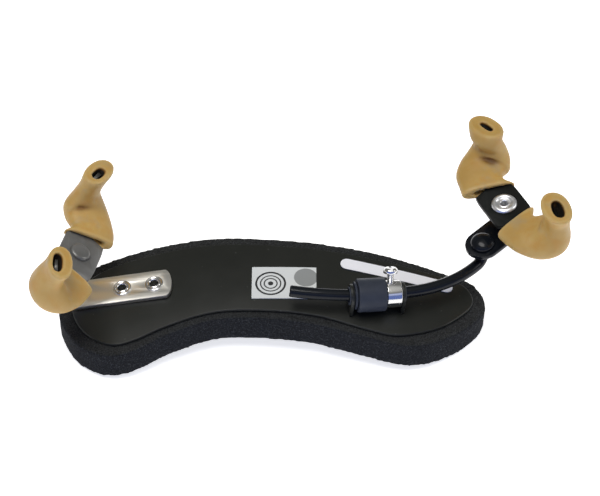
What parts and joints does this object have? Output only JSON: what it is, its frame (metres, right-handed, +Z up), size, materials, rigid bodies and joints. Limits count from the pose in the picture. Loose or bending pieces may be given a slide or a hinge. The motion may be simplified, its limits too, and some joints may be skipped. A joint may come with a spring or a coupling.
{
  "type": "violin shoulder rest",
  "caption": "Clip-on shoulder rest for a small violin: arched plate with a foam pad, a riveted rubber-sleeved fork, and another on a clamped rod that slides, tilts and swivels.",
  "frame": {"origin": "bottom centre of the bounding box at rest, where the pad's ends meet the floor", "axes": "+X along the rest from the riveted fork to the adjustable one, +Y to the back (the plate's convex long edge), +Z up from the pad towards the instrument"},
  "size_m": [0.1878, 0.0808, 0.0591],
  "materials": {
    "black_satin_metal": "satin",
    "black_foam": "matte",
    "satin_nickel": "satin",
    "chrome": "polished",
    "dark_grey_metal": "satin",
    "near_black_metal": "satin",
    "tan_gum_rubber": "satin",
    "satin_black_plastic": "satin",
    "gloss_black_metal": "gloss",
    "silver_grey_label": "satin",
    "white_label": "satin"
  },
  "bodies": {
    "plate": {"base_plate": "black_satin_metal", "foam_pad": "black_foam", "emblem_label": "silver_grey_label", "size_label": "white_label", "foot_strap": "satin_nickel", "strap_rivet_inner": "chrome", "strap_rivet_outer": "chrome", "left_fork_rivet": "dark_grey_metal", "left_fork_washer": "satin_black_plastic", "hinge_ear_left": "black_satin_metal", "hinge_ear_right": "black_satin_metal"},
    "left_fork": {"left_fork": "dark_grey_metal", "left_sleeve_back": "tan_gum_rubber", "left_sleeve_front": "tan_gum_rubber"},
    "clamp": {"clamp_bush": "satin_black_plastic", "thrust_washer": "satin_black_plastic", "friction_roller": "satin_black_plastic", "clamp_collar": "chrome"},
    "screw": {"clamp_screw": "chrome"},
    "rod": {"bent_rod": "gloss_black_metal", "rod_dome": "gloss_black_metal"},
    "link": {"swivel_link": "gloss_black_metal", "right_fork_eyelet": "chrome", "right_fork_washer": "satin_black_plastic"},
    "right_fork": {"right_fork": "near_black_metal", "right_sleeve_back": "tan_gum_rubber", "right_sleeve_front": "tan_gum_rubber"}
  },
  "joints": [
    {"name": "left_fork_swivel", "type": "hinge", "parent": "plate", "child": "left_fork", "pos_m": [-0.07808, -0.01187, 0.03642], "axis": [0.497, 0.0348, 0.867], "range_deg": [-20, 20]},
    {"name": "bush_turn", "type": "hinge", "parent": "plate", "child": "clamp", "pos_m": [0.02669, -0.01947, 0.02355], "axis": [0.9865, 0.1386, -0.0873], "range_deg": [-10, 25]},
    {"name": "clamp_screw_turn", "type": "hinge", "parent": "clamp", "child": "screw", "pos_m": [0.03148, -0.0188, 0.02313], "axis": [-0.0033, 0.5495, 0.8355], "range_deg": [0, 360]},
    {"name": "rod_slide", "type": "hinge", "parent": "clamp", "child": "rod", "pos_m": [0.0086, 0.10926, 0.02355], "axis": [0.0864, 0.0122, 0.9962], "range_deg": [-0.9, 6.2]},
    {"name": "link_swivel", "type": "hinge", "parent": "rod", "child": "link", "pos_m": [0.06512, 0.00049, 0.02643], "axis": [-0.1219, 0, 0.9925], "range_deg": [-40, 40]},
    {"name": "right_fork_swivel", "type": "hinge", "parent": "link", "child": "right_fork", "pos_m": [0.07232, 0.0082, 0.04001], "axis": [-0.1219, 0, 0.9925], "range_deg": [-20, 20]}
  ]
}
